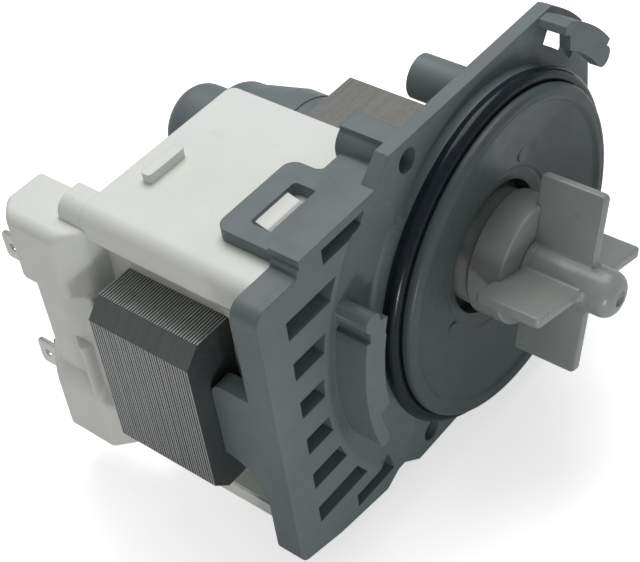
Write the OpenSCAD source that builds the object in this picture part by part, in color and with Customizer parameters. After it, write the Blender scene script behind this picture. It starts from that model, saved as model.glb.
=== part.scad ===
// Dishwasher drain pump: a synchronous motor with a wet rotor, and a four-bladed impeller.
// +X is the pump's axis, out of the impeller. +Z is up. The origin lies on the axis, in the
// plane of the mounting plate's front face.

/* [Mounting plate] */
// Thickness of the plate's panel round the axis
panel_t = 2.9; // [2.4:0.1:4]
// Thickness of the plate's band, left of the panel
band_t = 5.6; // [4.6:0.1:6.4]
// Distance from the axis to the plate's left edge
plate_left = 60.8; // [59.5:0.1:64]
// Outer radius of the collar that centres the pump in its seat
collar_r = 34.6; // [34:0.1:35.2]
// Width of the plate between the collar and the plate's top edge
plate_rim_top = 3.7; // [3:0.1:5]
// Width of the plate between the collar and the plate's right edge
plate_rim_right = 2.7; // [2:0.1:4]
// Height of the collar above the plate
collar_h = 1.8; // [1.2:0.1:2.4]
// Height of a louvre slot
slot_h = 4.1; // [3:0.1:5]
// Distance between two louvre slots
slot_pitch = 9.4; // [9:0.1:9.7]
// Radius of a screw hole
screw_hole_r = 2.35; // [1.6:0.05:2.8]
// Radius of the round bosses behind the plate
boss_r = 4.2; // [3.8:0.1:4.6]
// Distance from the plate's front face to the end of a boss
boss_reach = 12; // [8:0.5:14]

/* [Bayonet] */
// Distance from the collar to the bayonet's arm and claw
bayonet_gap = 4.2; // [3.8:0.1:4.8]
// Width of the bayonet's arm and claw
bayonet_w = 5.4; // [4.8:0.1:6]
// Distance from the plate's front face to the front of the arm and claw
bayonet_h = 5.8; // [5:0.1:7]
// Gap between the plate and the claw
claw_gap = 3.5; // [3:0.1:4]

/* [Cover] */
// How far the cover's rim lies inside the collar's edge
cover_inset = 1.6; // [1.2:0.1:2]
// Distance from the plate's front face to the cover's rim
cover_front = 6.9; // [6.5:0.1:8]
// Thickness of the cover's rim
cover_rim_t = 1.9; // [1.6:0.1:2.2]
// Radius of the cover's hole for the impeller
cover_hole_r = 13.4; // [13.1:0.1:13.8]
// Diameter of the sealing ring's section
o_ring_d = 3.2; // [2.8:0.1:3.2]

/* [Rotor] */
// Radius of the shaft
shaft_r = 2.5; // [1.5:0.1:3]
// Radial clearance of the shaft in its bushes
running_gap = 0.05; // [0.02:0.01:0.1]
// Gap between the magnet and the rotor can
magnet_gap = 0.7; // [0.6:0.1:2]
// Outer radius of the rotor can
can_r = 15; // [14.9:0.05:15.2]
// Thickness of the rotor can's wall
can_t = 1.1; // [0.8:0.1:1.3]

/* [Impeller] */
// Outer radius of the blades
blade_r = 18.4; // [16:0.1:22]
// Thickness of a blade
blade_t = 2; // [1.6:0.1:3]
// Number of blades
blade_count = 4; // [3:1:6]
// Lean of the first blade from straight up
blade_lean = 16.7; // [0:0.1:40]
// Radius of the impeller's hub
hub_r = 12.4; // [12.2:0.1:12.7]
// Radius of the impeller's core
core_r = 4.5; // [4.2:0.05:5]

/* [Motor] */
// Distance from the axis to the back of the core's yoke
yoke_left = 64.9; // [64:0.1:68]
// Width of the core's yoke
yoke_w = 11.2; // [10:0.1:12]
// Distance from the axis to the ends of the core's legs
leg_end = 10.2; // [8:0.1:12]
// Height of the core above the axis
core_top = 18.1; // [17:0.1:19]
// Height of a leg of the core
leg_h = 7.5; // [7:0.1:8]
// Thickness of the stack of sheets
stack_t = 23.2; // [20:0.1:24]
// Height of the coil cover's top face above the axis
coil_top = 31; // [30:0.1:31.5]
// Thickness of the wound wire
winding_t = 4.2; // [3:0.1:4.4]
// Width of a terminal tab
tab_w = 6.3; // [4.8:0.1:7]
// Thickness of a terminal tab
tab_t = 0.8; // [0.5:0.05:1]
// How far a terminal tab stands out of its block
tab_out = 5; // [4:0.5:9]

/* [Hidden] */
$fn = 96;

plastic = "#4d5657";
impeller_grey = "#737877";
rubber_black = "#1e222a";
white_plastic = "#e2e4de";
magnet_grey = "#3a3a3c";
sheet_grey = "#8a8f90";
steel = "#c8ccd0";
bronze = "#a0703c";
copper = "#b5652b";

// Room that lets a turned piece drop into its seat
seat_gap = 0.05;
// Room between two pieces that stay apart
free_gap = 0.4;
// Room between the latch loop and the coil cover under it
loop_gap = 0.2;
// Reach of a tool that cuts past a face
past = 1;
// A size larger than the whole pump
beyond = 200;

// The latch loop on the plate, the shelf on its front and the web that joins it to a boss
loop_left = 49.5;
loop_right = 29.5;
loop_reach = 17.8;
loop_t = 2.4;
loop_corner_r = 2.4;
shelf_h = 0.6;
shelf_left_reach = 6.2;
web_reach = 10.8;
web_round = 2.2;
window_left = 45.7;
window_right = 34;
window_front = 8.3;
window_rear = 13.3;
window_corner_r = 0.8;

// The bayonet, the panel's edges and the cover's rim, all from the collar
bayonet_in = collar_r + bayonet_gap;
bayonet_out = bayonet_in + bayonet_w;
plate_top = collar_r + plate_rim_top;
plate_right = collar_r + plate_rim_right;
corner_reach = bayonet_out + 1.2;
cover_r = collar_r - cover_inset;

// The plate: the band's outline, then the panel's
band_top = coil_top + loop_gap + loop_t + shelf_h;
band_bottom = band_top + 0.6;
band_corner_top = band_top - 3;
band_corner_bottom = band_bottom - 3;
band_corner_r = 2.6;
rise_right = loop_left - 4.5;
rise_left = loop_left + 0.8;
rise_h = 1.8;
foot_left = 35.3;
foot_w = 3.8;
foot_h = 2.1;
foot_round = 0.9;
band_step_w = 4.5;
panel_left = loop_right;
side_half = 17.4;
side_angle = 40;
plate_bore_r = collar_r - 4.6;
ledge_r = plate_bore_r - 6;
ledge_t = panel_t - 1.5;
channel_w = 13.2;
// The collar covers the inner edge of the channel
channel_r = collar_r + channel_w / 2 - 0.4;
channel_depth = 1.2;
channel_half_angle = 40;

// The louvre slots, and the screw holes and bosses
slot_count = 6;
slot_first_z = 22.7;
slot_left = 54.4;
slot_ring_r = bayonet_out + 4;
short_slot_left = 44;
short_slot_right = 32.8;
short_slot_h = 3.2;
short_slot_rim = 1.8;
boss_z = plate_top - boss_r;
screw_y = -20.4;
boss_flat_w = 4.6;
blind_hole_r = 1.6;
blind_hole_floor = 3;

// The lug that the stack of sheets rests against
lug_right = plate_left - 3.8;
lug_reach = 8.6;
lug_top = 8.6;
lug_bottom = -9.5;
lug_web_r = 8;
lug_corner_r = 2.5;

// The bayonet's angles, counted from the right, over the top
claw_first = 35.4;
claw_last = 62.2;
claw_tip_r = 2.1;
claw_left = 21.3;
claw_top = plate_top - 0.2;
stem_first = 48;
stem_last = 62.2;
stem_in = bayonet_out - 2.6;
hook_hole_in = bayonet_in - 0.7;
hook_hole_first = 37.2;
hook_hole_last = 56;
arm_first = 163.7;
arm_last = 188.5;
arm_bead_r = 1.9;
arm_bead_angle = 158.7;
arm_bead_centre_r = bayonet_out - 0.95;
arm_neck_in = bayonet_in + 0.3;
arm_neck_out = bayonet_out - 0.9;
arm_tail_in = bayonet_out - 2.8;
arm_tail_last = 197.8;
arm_tail_r = (bayonet_out - arm_tail_in) / 2;

// The stack of sheets and the coils on its legs
stack_front = -band_t - lug_reach;
stack_rear = stack_front - stack_t;
yoke_right = yoke_left - yoke_w;
leg_bottom = core_top - leg_h;
leg_z = core_top - leg_h / 2;
pole_r = can_r + 0.6;
top_chamfer = 3.4;
bottom_chamfer = 3.2;
bobbin_wall = 0.8;
bobbin_flange_t = 1.2;
bobbin_left = yoke_right - 1.2;
bobbin_right = pole_r + 1.4;
bobbin_round = 0.4;
coil_round = 3;

// The rotor can, from its flange back to its closed rear end
flange_t = 1.4;
flange_r = plate_bore_r - 0.3;
flange_face = flange_t - ledge_t;
bowl_r = ledge_r - 2;
bowl_t = 1.5;
bowl_floor_x = free_gap - band_t;
can_in = can_r - can_t;
can_shoulder = stack_rear - 5.6;
can_shoulder_t = 1.5;
bush_wall = 2.1;
bush_r = shaft_r + bush_wall;
rear_mount_wall = 2.4;
rear_mount_l = 10;
rear_seat_neck = 17;
rear_seat_r = bush_r + rear_mount_wall;
rear_seat_out = rear_seat_r + 2;
rear_mount_front = can_shoulder - rear_seat_neck;
rear_mount_rear = rear_mount_front - rear_mount_l;
can_floor = rear_mount_rear - 3.2;
can_end = can_floor - 2.3;
can_end_round = 4.2;

// The ring-shaped cap behind the stack, which the can's rear end passes through
cap_r = can_r + 0.2;
cap_round = 3.4;
cap_neck_r = rear_seat_out + cap_round + 0.3;
cap_land_l = 5;
cap_cone_l = 11;
cap_l = 21;
cap_end = can_shoulder - cap_l;

// The cover, from its rim inwards
rim_round = 0.9;
rim_rear_round = 0.3;
ring_seat_r = cover_r - 0.9;
o_ring_x = collar_h + o_ring_d / 2;
o_ring_centre_r = ring_seat_r + seat_gap + o_ring_d / 2;
face_step = 0.8;
face_slope = 0.2;
face_r = cover_r - 3;
dish_end_r = cover_hole_r + 2.5;
dish_end_x = cover_front - 3.8;
hole_edge_x = dish_end_x - 0.5;
skin_t = 2;
cover_spigot_in = plate_bore_r - 5;
cover_spigot_rear = flange_face + 0.3;
well_r = cover_hole_r + 2;
well_floor_t = 1.8;
well_floor_rear = bowl_floor_x + bowl_t + 0.7;
well_floor_x = well_floor_rear + well_floor_t;
seal_d = 1.8;
seal_r = plate_bore_r - 2.5;
seal_groove_half = seal_d / 2 + 0.2;

// The front bearing, in the tube behind the cover's well
mount_r = bush_r + 2.3;
mount_wall = 1.8;
front_mount_l = 6.3;
front_mount_face = well_floor_x - 1.2;
front_mount_rear = front_mount_face - front_mount_l;
bush_flange_r = shaft_r + 3.7;
bush_flange_t = 0.8;
washer_t = 0.9;
washer_r = shaft_r + 3;
washer_gap = 0.1;
tube_lip_t = 0.8;
tube_lip_r = washer_r + 0.3;

// The rotor
magnet_in = 8;
magnet_r = can_in - magnet_gap;
magnet_front = stack_front + 1.1;
magnet_rear = stack_rear - 1.7;
sleeve_flange_r = 11;
sleeve_front = magnet_front + 0.5;
sleeve_rear = magnet_rear - 1;
neck_r = shaft_r + 2.5;
front_bush_rear = front_mount_rear - 0.6;
front_washer_front = front_bush_rear - washer_gap;
front_washer_rear = front_washer_front - washer_t;
rear_bush_front = rear_mount_front + bush_flange_t;
rear_washer_rear = rear_bush_front + washer_gap;
rear_washer_front = rear_washer_rear + washer_t;
shaft_rear = rear_mount_rear - 1.5;
shaft_front = 18.5;

// The impeller and the lost-motion coupling in its hub
hub_rear = well_floor_x + 1.6;
hub_front = 11.2;
hub_round = 0.5;
cup_r = hub_r - 2;
cup_front = hub_front - 2;
hub_step_x = 4.6;
hub_seat_r = hub_r - 0.8;
mouth_r = hub_seat_r - 0.8;
mouth_t = 1.5;
blade_rear = hub_front - 1;
blade_front = 23.4;
blade_round = 1;
core_fillet = 1;
nose_tip = blade_front + 5.9;
nose_round = 2.6;
dimple_r = 1.4;
dimple_depth = 0.8;
dog_rear = hub_rear + mouth_t + free_gap;
dog_front = cup_front - free_gap;
dog_hub_r = neck_r;
dog_r = cup_r - free_gap;
dog_half_angle = 20;
stop_half_angle = 30;
damper_in = dog_hub_r + free_gap;
damper_half_angle = 38;
stop_in = damper_in + 1.2;
shaft_hole_r = shaft_r + 0.5;

// The white cover moulded over the coils
coil_rear = stack_rear - 5.8;
coil_front = -band_t;
coil_right = pole_r;
coil_left = yoke_right + 3.5;
coil_lip_z = coil_top - 6.2;
coil_lip_r = 0.5;
coil_corner_r = 3.2;
coil_edge_r = 1.2;
coil_rear_corner_r = 3;
coil_gap_half = 3;
coil_gap_depth = 5;
coil_gap_inset = 3;
boss_relief = 0.4;
tongue_rear = coil_rear - 5.5;
tongue_left = coil_left;
tongue_right = coil_left - 6.4;
tongue_bottom = coil_lip_z + 1;
tongue_corner_r = 1.8;
bar_rear = coil_rear + 4.4;
bar_front = bar_rear + 2.3;
bar_left = coil_left - 12;
bar_right = coil_left - 21.3;
bar_h = 1.9;
bar_corner_r = 0.8;
latch_rear = 0.5 - window_rear;
latch_front = -window_front - 0.5;
latch_left = window_left - 0.7;
latch_right = window_right + 2.5;
latch_h = 2.4;
latch_low = 0.4;
latch_bend = latch_front - 1.5;
latch_bend_h = 1.7;

// The terminal blocks, the bridge between them, and the tabs
block_l = 15;
block_left = coil_left + 4.8;
block_right = coil_left - 7.7;
block_front = coil_rear - 2.8;
block_rear = block_front - block_l;
block_chamfer = 3.5;
block_front_chamfer = 4;
block_neck = block_front + block_front_chamfer;
upper_block_top = coil_top - 3.8;
upper_block_bottom = 12;
block_round = 3;
lower_block_bottom = -27.7;
lower_block_top = -7.7;
lower_block_round = 8;
bridge_left = block_left - 2;
bridge_rear = block_rear + block_chamfer;
catch_top = lower_block_top + 7.3;
catch_rear = block_front - 4.2;
catch_tip = block_front - 0.9;
catch_front = block_front + 0.5;
tab_y = 4 - block_left;
tab_z = 14;
tab_grip = 11;
tab_root = block_rear + tab_grip;
tab_round = 1.2;

function unit(v) = v / norm(v);
function turned(v, a) = [v.x * cos(a) - v.y * sin(a), v.x * sin(a) + v.y * cos(a)];
function polar(r, a) = [r * cos(a), r * sin(a)];

// Points that round the corner p, between its neighbours a and b, to the radius r
function round_corner(a, p, b, r, steps = 6) =
    let (
        u = unit(a - p),
        v = unit(b - p),
        half = acos(u * v) / 2,
        centre = p + unit(u + v) * r / sin(half),
        start = p + u * r / tan(half) - centre,
        turn = -sign(cross(u, v)) * (180 - 2 * half)
    )
    [for (i = [0:steps]) centre + turned(start, turn * i / steps)];

// An outline whose corners are rounded, each to its own radius
function rounded(points, radii) =
    let (n = len(points))
    [for (i = [0:n - 1])
        for (p = radii[i] == 0
            ? [points[i]]
            : round_corner(points[(i + n - 1) % n], points[i], points[(i + 1) % n], radii[i])) p];

// Points of an arc about the origin
function arc(r, from, to, steps = 8) = [for (i = [0:steps]) polar(r, from + (to - from) * i / steps)];

// Carries an outline drawn as (Y, Z) along X
module along_x(from, to) {
    translate([from, 0, 0])
        rotate([90, 0, 90])
            linear_extrude(to - from)
                children();
}

// Carries an outline drawn as (X, Z) along Y
module along_y(from, to) {
    translate([0, to, 0])
        rotate([90, 0, 0])
            linear_extrude(to - from)
                children();
}

// Carries an outline drawn as (X, Y) along Z
module along_z(from, to) {
    translate([0, 0, from])
        linear_extrude(to - from)
            children();
}

// Turns a half profile drawn as (radius, X) about the pump's axis
module about_x() {
    rotate([0, 90, 0])
        rotate_extrude()
            children();
}

// A round bar along X
module bar_x(from, to, r, y = 0, z = 0) {
    translate([from, y, z])
        rotate([0, 90, 0])
            cylinder(h = to - from, r = r);
}

// A tube along X, about the axis
module tube_x(from, to, r_in, r_out) {
    difference() {
        bar_x(from, to, r_out);
        bar_x(from - past, to + past, r_in);
    }
}

module box(low, high) {
    translate(low)
        cube(high - low);
}

// A rectangle with round corners
module rounded_rectangle(low, high, r) {
    polygon(rounded([low, [high.x, low.y], high, [low.x, high.y]], [r, r, r, r]));
}

// A wedge of the plane between two angles, less than half a turn apart
module wedge(from, to) {
    polygon([[0, 0], polar(beyond, from), polar(beyond, (from + to) / 2), polar(beyond, to)]);
}

// A part of a ring between two angles
module ring_part(r_in, r_out, from, to) {
    intersection() {
        difference() {
            circle(r_out);
            circle(r_in);
        }
        wedge(from, to);
    }
}

module plate_outline() {
    corner_y = sqrt(pow(corner_reach, 2) - pow(plate_top, 2));
    corner_angle = atan2(plate_top, corner_y);
    step_y = -panel_left + band_step_w;
    left_points = rounded([[-panel_left, band_top], [-rise_right, band_top],
        [-rise_left, band_top - rise_h], [-rise_left, band_corner_top],
        [-plate_left, band_corner_top], [-plate_left, -band_corner_bottom],
        [-loop_left, -band_bottom], [-foot_left, -band_bottom - foot_h],
        [foot_w - foot_left, -band_bottom], [-panel_left, -band_bottom]],
        [0, 2, 0.6, 0.4, band_corner_r, band_corner_r, 4, foot_round, foot_round, 0]);
    points = concat([[step_y, -plate_top], [corner_y, -plate_top]],
        arc(corner_reach, -corner_angle, -side_angle),
        [[plate_right, -side_half], [plate_right, side_half]],
        arc(corner_reach, side_angle, corner_angle),
        [[step_y, plate_top]],
        left_points);
    polygon(points);
}

// The louvre slots, whose right ends follow a circle about the axis
module louvre_slots() {
    difference() {
        for (i = [0:slot_count - 1])
            translate([-slot_left, slot_first_z - i * slot_pitch - slot_h / 2])
                square([slot_left - panel_left, slot_h]);
        circle(slot_ring_r);
    }
    short_slots();
}

// The two shorter slots, at the band's top and bottom
module short_slots() {
    for (z = [band_top - short_slot_rim - short_slot_h, -band_bottom + short_slot_rim])
        translate([-short_slot_left, z])
            square([short_slot_left - short_slot_right, short_slot_h]);
}

// A shallow dish that runs round the collar's left side
module front_channel() {
    tool_r = (pow(channel_w / 2, 2) + pow(channel_depth, 2)) / (2 * channel_depth);
    rotate([0, 90, 0])
        rotate([0, 0, -90 - channel_half_angle])
            rotate_extrude(angle = 2 * channel_half_angle)
                translate([channel_r, tool_r - channel_depth])
                    circle(tool_r);
    for (side = [-1, 1])
        rotate([side * channel_half_angle, 0, 0])
            translate([tool_r - channel_depth, -channel_r, 0])
                sphere(tool_r);
}

module plate_body() {
    difference() {
        union() {
            along_x(-panel_t, 0) plate_outline();
            along_x(-band_t, 0)
                intersection() {
                    plate_outline();
                    translate([-beyond, -beyond])
                        square([beyond - panel_left, 2 * beyond]);
                }
        }
        along_x(-band_t - past, past) louvre_slots();
        along_x(-band_t - past, past)
            ring_part(hook_hole_in, stem_in, hook_hole_first, hook_hole_last);
        front_channel();
    }
    bar_x(-panel_t, collar_h, collar_r);
}

// The arm at the lower left: a bead on its neck, a broad wall and a narrow tail
module bayonet_arm() {
    bead = polar(arm_bead_centre_r, arm_bead_angle);
    tail = polar(bayonet_out - arm_tail_r, arm_tail_last);
    along_x(-panel_t, bayonet_h) {
        ring_part(bayonet_in, bayonet_out, arm_first, arm_last);
        ring_part(arm_neck_in, arm_neck_out, arm_bead_angle, arm_first);
        translate(bead) circle(arm_bead_r);
        ring_part(arm_tail_in, bayonet_out, arm_last, arm_tail_last);
        translate(tail) circle(arm_tail_r);
    }
}

// The claw at the upper right, on its stem
module bayonet_claw() {
    tip = polar(bayonet_in + claw_tip_r, claw_first);
    along_x(claw_gap, bayonet_h)
        intersection() {
            union() {
                ring_part(bayonet_in, bayonet_out, claw_first + 1.4, claw_last);
                ring_part(bayonet_in, bayonet_in + claw_tip_r, claw_first, claw_last);
                translate(tip) circle(claw_tip_r);
            }
            translate([claw_left, -beyond])
                square([beyond, beyond + claw_top]);
        }
    along_x(-panel_t, bayonet_h)
        intersection() {
            ring_part(stem_in, bayonet_out, stem_first, stem_last);
            translate([-beyond, -beyond])
                square([2 * beyond, beyond + claw_top]);
        }
}

// The loop that catches the coil cover's latch, with its web and its shelf
module latch_loop() {
    loop_bottom = band_top - shelf_h - loop_t;
    difference() {
        union() {
            along_z(loop_bottom, band_top - shelf_h)
                polygon(rounded([[0, -loop_left], [0, screw_y], [-web_reach, screw_y],
                    [-web_reach, -loop_right], [-loop_reach, -loop_right],
                    [-loop_reach, -loop_left]], [0, 0, 0, web_round, loop_corner_r, loop_corner_r]));
            along_z(loop_bottom, band_top)
                polygon([[0, -loop_left], [0, screw_y], [-web_reach, screw_y],
                    [-web_reach, -loop_right], [-window_front, -window_right],
                    [-window_front, -window_left], [-shelf_left_reach, -loop_left]]);
        }
        along_z(loop_bottom - past, band_top + past)
            rounded_rectangle([-window_rear, -window_left], [-window_front, -window_right],
                window_corner_r);
        along_x(-band_t, past) short_slots();
    }
}

// A boss behind the plate, its top flat
module screw_boss(side) {
    bar_x(-boss_reach, 0, boss_r, screw_y, side * boss_z);
    along_x(-boss_reach, 0)
        translate([screw_y - boss_flat_w / 2, min(side * boss_z, side * plate_top)])
            square([boss_flat_w, boss_r]);
}

// The lug at the left edge, which the stack rests against
module edge_lug() {
    along_y(-plate_left, -lug_right)
        difference() {
            polygon(rounded([[-band_t, lug_bottom - lug_web_r], [-band_t, lug_top],
                [stack_front, lug_top], [stack_front, lug_bottom]], [0, 0, lug_corner_r, 0]));
            translate([stack_front, lug_bottom - lug_web_r])
                circle(lug_web_r);
        }
}

module mounting_plate() {
    color(plastic)
        difference() {
            union() {
                plate_body();
                bayonet_arm();
                bayonet_claw();
                latch_loop();
                edge_lug();
                for (side = [-1, 1]) {
                    screw_boss(side);
                    bar_x(-boss_reach, 0, boss_r, 0, side * boss_z);
                }
            }
            bar_x(-ledge_t, collar_h + past, plate_bore_r);
            bar_x(-band_t - past, past, ledge_r);
            for (side = [-1, 1]) {
                bar_x(-boss_reach - past, past, screw_hole_r, screw_y, side * boss_z);
                bar_x(-boss_reach - past, -blind_hole_floor, blind_hole_r, 0, side * boss_z);
            }
        }
}

// The can that the rotor turns in, from its flange to its closed, rounded rear end
module rotor_can() {
    round_end = round_corner([0, can_end], [rear_seat_out, can_end], [rear_seat_out, can_shoulder],
        can_end_round);
    color(plastic)
        about_x()
            polygon(concat([[0, can_end]], round_end, [[rear_seat_out, can_shoulder],
                [can_r, can_shoulder], [can_r, bowl_floor_x], [bowl_r, bowl_floor_x],
                [bowl_r, -ledge_t], [flange_r, -ledge_t], [flange_r, flange_face],
                [bowl_r - bowl_t, flange_face], [bowl_r - bowl_t, bowl_floor_x + bowl_t],
                [can_in, bowl_floor_x + bowl_t], [can_in, can_shoulder + can_shoulder_t],
                [rear_seat_r, can_shoulder + can_shoulder_t], [rear_seat_r, can_floor],
                [0, can_floor]]));
}

// The cap pressed on the can's rear end: a land, a cone, a neck and a rounded rear edge
module can_end_cap() {
    bore_r = rear_seat_out + seat_gap;
    neck_front = [cap_neck_r, can_shoulder - cap_land_l - cap_cone_l];
    neck_rear = [cap_neck_r, cap_end];
    color(plastic)
        about_x()
            polygon(concat([[bore_r, cap_end], [bore_r, can_shoulder], [cap_r, can_shoulder],
                [cap_r, can_shoulder - cap_land_l], neck_front],
                round_corner(neck_front, neck_rear, [bore_r, cap_end], cap_round)));
}

module can_seal() {
    color(rubber_black)
        about_x()
            translate([seal_r, flange_face + seal_d / 2])
                circle(seal_d / 2);
}

// The round cover with its dished face, its seal grooves and its bearing tube
module volute_cover() {
    rim_rear = cover_front - cover_rim_t;
    tube_out = mount_r + mount_wall;
    tube_end = front_mount_rear - tube_lip_t;
    groove_top = flange_face + seal_d;
    back = [[cover_hole_r, hole_edge_x], [cover_hole_r, well_floor_x], [mount_r, well_floor_x],
        [mount_r, front_mount_rear], [tube_lip_r, front_mount_rear], [tube_lip_r, tube_end],
        [tube_out, tube_end], [tube_out, well_floor_rear], [well_r, well_floor_rear],
        [well_r, hole_edge_x - skin_t], [cover_spigot_in, groove_top + 1],
        [cover_spigot_in, cover_spigot_rear]];
    seal_groove = [[seal_r - seal_groove_half, cover_spigot_rear],
        [seal_r - seal_groove_half, groove_top], [seal_r + seal_groove_half, groove_top],
        [seal_r + seal_groove_half, cover_spigot_rear]];
    ring_seat = [[flange_r, cover_spigot_rear], [flange_r, collar_h], [ring_seat_r, collar_h],
        [ring_seat_r, rim_rear]];
    rim = concat(
        round_corner([ring_seat_r, rim_rear], [cover_r, rim_rear], [cover_r, cover_front],
            rim_rear_round, 2),
        round_corner([cover_r, rim_rear], [cover_r, cover_front], [face_r, cover_front], rim_round));
    dish = [[face_r + face_slope, cover_front], [face_r, cover_front - face_step],
        [dish_end_r, dish_end_x]];
    color(plastic)
        about_x()
            polygon(concat(back, seal_groove, ring_seat, rim, dish));
}

module cover_o_ring() {
    color(rubber_black)
        about_x()
            translate([o_ring_centre_r, o_ring_x])
                circle(o_ring_d / 2);
}

// A rubber ring that holds a bush
module bearing_mount(from, to, r) {
    color(rubber_black)
        tube_x(from, to, bush_r, r);
}

module front_bearing_mount() {
    bearing_mount(front_mount_rear, front_mount_face, mount_r);
}

module rear_bearing_mount() {
    bearing_mount(rear_mount_rear, rear_mount_front, rear_seat_r);
}

// A plain bush with a flange on the side of the face
module bush(sleeve_end, flange_seat, flange_face) {
    bore = shaft_r + running_gap;
    low = min(sleeve_end, flange_seat);
    high = max(sleeve_end, flange_seat);
    color(bronze)
        difference() {
            union() {
                bar_x(low, high, bush_r);
                bar_x(min(flange_seat, flange_face), max(flange_seat, flange_face), bush_flange_r);
            }
            bar_x(low - bush_flange_t - past, high + bush_flange_t + past, bore);
        }
}

module front_bush() {
    bush(front_bush_rear, front_mount_face, front_mount_face + bush_flange_t);
}

module rear_bush() {
    bush(rear_mount_rear, rear_mount_front, rear_bush_front);
}

module rotor_shaft() {
    color(steel)
        bar_x(shaft_rear, shaft_front, shaft_r);
}

module rotor_magnet() {
    color(magnet_grey)
        tube_x(magnet_rear, magnet_front, magnet_in, magnet_r);
}

// The plastic core that joins the magnet to the shaft
module rotor_sleeve() {
    color(white_plastic)
        difference() {
            union() {
                bar_x(sleeve_rear, sleeve_front, magnet_in);
                bar_x(magnet_front, sleeve_front, sleeve_flange_r);
                bar_x(sleeve_rear, magnet_rear, sleeve_flange_r);
                bar_x(rear_washer_front, sleeve_rear, neck_r);
                bar_x(sleeve_front, front_washer_rear, neck_r);
            }
            bar_x(rear_washer_front - past, front_washer_rear + past, shaft_r);
        }
}

module front_thrust_washer() {
    color(steel)
        tube_x(front_washer_rear, front_washer_front, shaft_r + running_gap, washer_r);
}

module rear_thrust_washer() {
    color(steel)
        tube_x(rear_washer_rear, rear_washer_front, shaft_r + running_gap, washer_r);
}

// The dog pressed on the shaft, whose arm swings against the impeller's stop
module drive_dog() {
    color(white_plastic)
        along_x(dog_rear, dog_front)
            difference() {
                union() {
                    circle(dog_hub_r);
                    ring_part(dog_hub_r - 1, dog_r, 270 - dog_half_angle, 270 + dog_half_angle);
                }
                circle(shaft_r);
            }
}

// The hub, stepped behind and hollow inside, with its nose and the bore for the shaft
module impeller_hub() {
    mouth_front = hub_rear + mouth_t;
    bore_r = shaft_r + running_gap;
    bore_end = shaft_front + free_gap;
    outside = concat([[hub_seat_r, hub_rear], [hub_seat_r, hub_step_x], [hub_r, hub_step_x]],
        round_corner([hub_r, hub_step_x], [hub_r, hub_front], [core_r, hub_front], hub_round),
        round_corner([hub_r, hub_front], [core_r, hub_front], [core_r, nose_tip], core_fillet));
    nose = round_corner([core_r, hub_front], [core_r, nose_tip], [0, nose_tip], nose_round);
    dimple = [[dimple_r, nose_tip], [dimple_r * 0.6, nose_tip - dimple_depth * 0.7],
        [0, nose_tip - dimple_depth]];
    inside = [[0, bore_end], [bore_r, bore_end], [bore_r, cup_front], [cup_r, cup_front],
        [cup_r, mouth_front], [mouth_r, mouth_front]];
    about_x()
        polygon(concat([[mouth_r, hub_rear]], outside, nose, dimple, inside));
}

// One blade, standing up from the axis
module blade() {
    outline = rounded([[blade_rear, core_r - 1], [blade_rear, blade_r], [blade_front, blade_r],
        [blade_front, core_r - 1]], [0, blade_round, blade_round, 0]);
    along_y(-blade_t / 2, blade_t / 2)
        polygon(outline);
}

module impeller() {
    color(impeller_grey) {
        impeller_hub();
        for (i = [0:blade_count - 1])
            rotate([-blade_lean + i * 360 / blade_count, 0, 0])
                blade();
        along_x(dog_rear, cup_front)
            ring_part(stop_in, cup_r + 1, 90 - stop_half_angle, 90 + stop_half_angle);
    }
}

// The rubber pad that wraps the impeller's stop
module impeller_damper() {
    color(rubber_black)
        along_x(dog_rear, dog_front)
            difference() {
                ring_part(damper_in, dog_r, 90 - damper_half_angle, 90 + damper_half_angle);
                ring_part(stop_in, cup_r, 90 - stop_half_angle, 90 + stop_half_angle);
            }
}

module coupling_cover() {
    color(impeller_grey)
        tube_x(hub_rear, hub_rear + mouth_t, shaft_hole_r, mouth_r);
}

// The U-shaped stack of steel sheets, with its poles round the can
module core_laminations() {
    color(sheet_grey)
        along_x(stack_rear, stack_front)
            difference() {
                polygon([[-yoke_left, -core_top + bottom_chamfer],
                    [-yoke_left + bottom_chamfer, -core_top], [leg_end, -core_top],
                    [leg_end, -leg_bottom], [-yoke_right, -leg_bottom], [-yoke_right, leg_bottom],
                    [leg_end, leg_bottom], [leg_end, core_top],
                    [-yoke_left + top_chamfer, core_top], [-yoke_left, core_top - top_chamfer]]);
                circle(pole_r);
            }
}

// The outline, seen along a leg, of what is wound to a given depth round it
module round_leg(depth, side, corner) {
    rounded_rectangle([stack_rear - depth, side * leg_z - leg_h / 2 - depth],
        [stack_front + depth, side * leg_z + leg_h / 2 + depth], corner);
}

module leg_hole(side) {
    translate([stack_rear, side * leg_z - leg_h / 2])
        square([stack_t, leg_h]);
}

module bobbin(side) {
    color(white_plastic) {
        along_y(-bobbin_left, -bobbin_right)
            difference() {
                round_leg(bobbin_wall, side, bobbin_round);
                leg_hole(side);
            }
        for (y = [-bobbin_left, -bobbin_right - bobbin_flange_t])
            along_y(y, y + bobbin_flange_t)
                difference() {
                    round_leg(bobbin_wall + winding_t, side, coil_round);
                    leg_hole(side);
                }
    }
}

module winding(side) {
    color(copper)
        along_y(-bobbin_left + bobbin_flange_t, -bobbin_right - bobbin_flange_t)
            difference() {
                round_leg(bobbin_wall + winding_t, side, coil_round);
                round_leg(bobbin_wall, side, bobbin_round);
            }
}

module upper_bobbin() {
    bobbin(1);
}

module lower_bobbin() {
    bobbin(-1);
}

module upper_winding() {
    winding(1);
}

module lower_winding() {
    winding(-1);
}

// The coil cover's outline, seen along the axis
module coil_outline() {
    half = [[-coil_right, coil_top], [-coil_left, coil_top], [-coil_left, coil_lip_z],
        [-yoke_right, coil_lip_z]];
    mirrored = [for (i = [len(half) - 1:-1:0]) [half[i].x, -half[i].y]];
    polygon(rounded(concat(half, mirrored), [coil_edge_r, coil_corner_r, coil_lip_r, 0,
        0, coil_lip_r, coil_corner_r, coil_edge_r]));
}

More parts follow.
